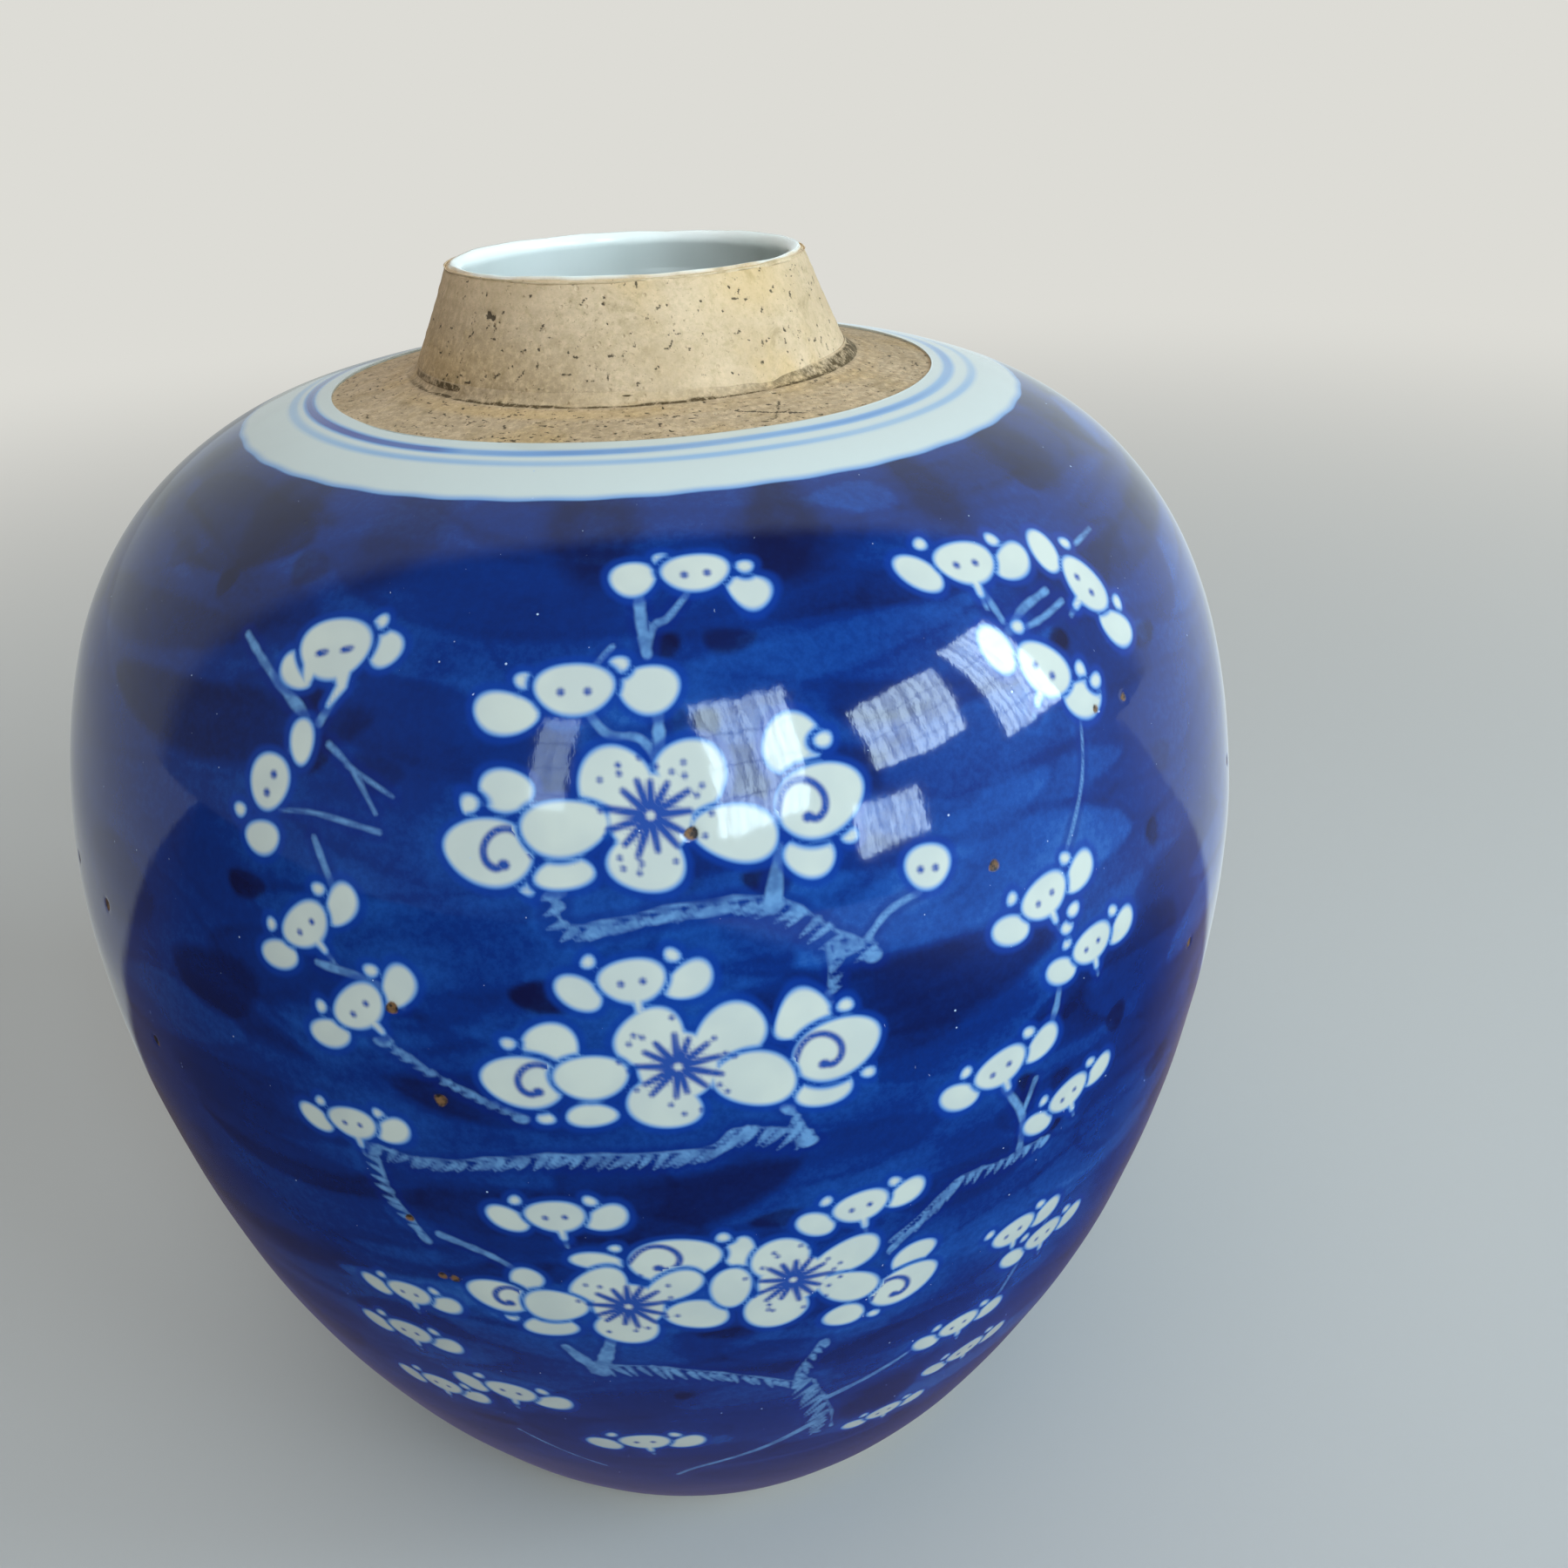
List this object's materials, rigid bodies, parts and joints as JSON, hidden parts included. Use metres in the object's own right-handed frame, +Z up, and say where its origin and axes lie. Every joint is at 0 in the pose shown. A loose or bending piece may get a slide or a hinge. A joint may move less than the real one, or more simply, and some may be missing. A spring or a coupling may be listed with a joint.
{
  "type": "ginger jar",
  "caption": "Lidless ovoid ginger jar with a bare conical neck and shoulder ring, blue-and-white blossom painting under a glossy glaze, a hollow inside and a recessed foot ring.",
  "frame": {"origin": "centre of the foot ring, on the plane of the table", "axes": "+Z up along the jar's upright axis of revolution; -Y faces the viewer, with the main painted tree on that side; +X to the viewer's right"},
  "size_m": [0.2012, 0.2012, 0.2186],
  "materials": {
    "biscuit_porcelain": "unglazed, matt, buff, flecked and stained",
    "luting_slip": "unglazed, matt, darkened with dirt in the corner it fills",
    "cobalt_painted_glaze": "glossy clear glaze over deep cobalt brushwork with reserved white blossom",
    "clear_glaze": "glossy, slightly blue-green white"
  },
  "bodies": {
    "root": {"lower_body": "biscuit_porcelain", "upper_body": "biscuit_porcelain", "neck": "biscuit_porcelain", "belly_luting_slip": "luting_slip", "neck_luting_slip": "luting_slip", "outer_glaze": "cobalt_painted_glaze", "inner_glaze": "clear_glaze", "base_glaze": "clear_glaze"}
  },
  "joints": []
}
